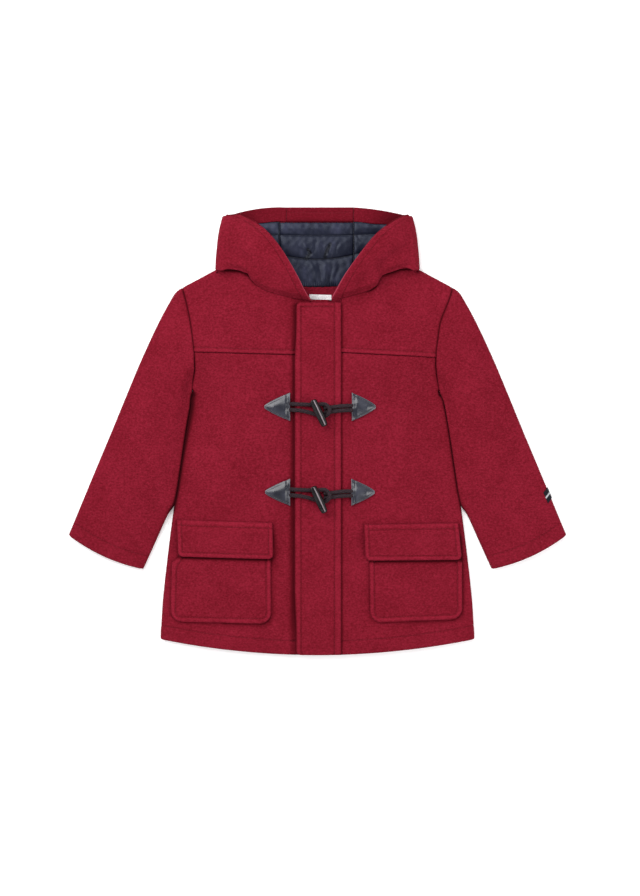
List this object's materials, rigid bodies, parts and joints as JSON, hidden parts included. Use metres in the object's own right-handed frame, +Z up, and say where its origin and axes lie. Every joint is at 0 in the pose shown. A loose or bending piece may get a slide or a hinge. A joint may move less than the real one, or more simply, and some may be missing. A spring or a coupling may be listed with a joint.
{
  "type": "hooded duffle coat",
  "caption": "Toddler's hooded wool duffle coat laid flat, with a placket, toggle and loop fastenings on leather tabs, patch pockets with flaps and a quilted hood lining.",
  "frame": {"origin": "centre of the coat's outline, on the surface that its back lies on", "axes": "+X to the wearer's left, +Y from the hem to the hood, +Z up out of the coat's front"},
  "size_m": [0.5964, 0.5363, 0.0388],
  "materials": {
    "wool": "felted wool, red",
    "quilting": "quilted nylon, navy, slight sheen",
    "leather": "smooth slate blue leather, glossy",
    "cord": "round braided cord, dark brown",
    "horn": "dark horn, polished",
    "label": "woven satin, white, blank",
    "ribbon": "woven ribbon, navy with a pale stripe"
  },
  "bodies": {
    "root": {"back": "wool", "front_right": "wool", "front_left": "wool", "yoke_right": "wool", "yoke_left": "wool", "sleeve_right": "wool", "sleeve_left": "wool", "placket": "wool", "pocket_right": "wool", "pocket_left": "wool", "pocket_flap_right": "wool", "pocket_flap_left": "wool", "hood_side_right": "wool", "hood_side_left": "wool", "hood_centre": "wool", "hood_facing_right": "wool", "hood_facing_left": "wool", "hood_facing_centre": "wool", "hood_lining_right": "quilting", "hood_lining_left": "quilting", "hood_lining_centre": "quilting", "neck_facing": "wool", "neck_label": "label", "sleeve_tab": "ribbon", "leather_upper_right": "leather", "leather_upper_left": "leather", "leather_lower_right": "leather", "leather_lower_left": "leather", "cord_loop_upper": "cord", "cord_loop_lower": "cord", "cord_toggle_upper_a": "cord", "cord_toggle_upper_b": "cord", "cord_toggle_lower_a": "cord", "cord_toggle_lower_b": "cord", "toggle_upper": "horn", "toggle_lower": "horn"}
  },
  "joints": []
}
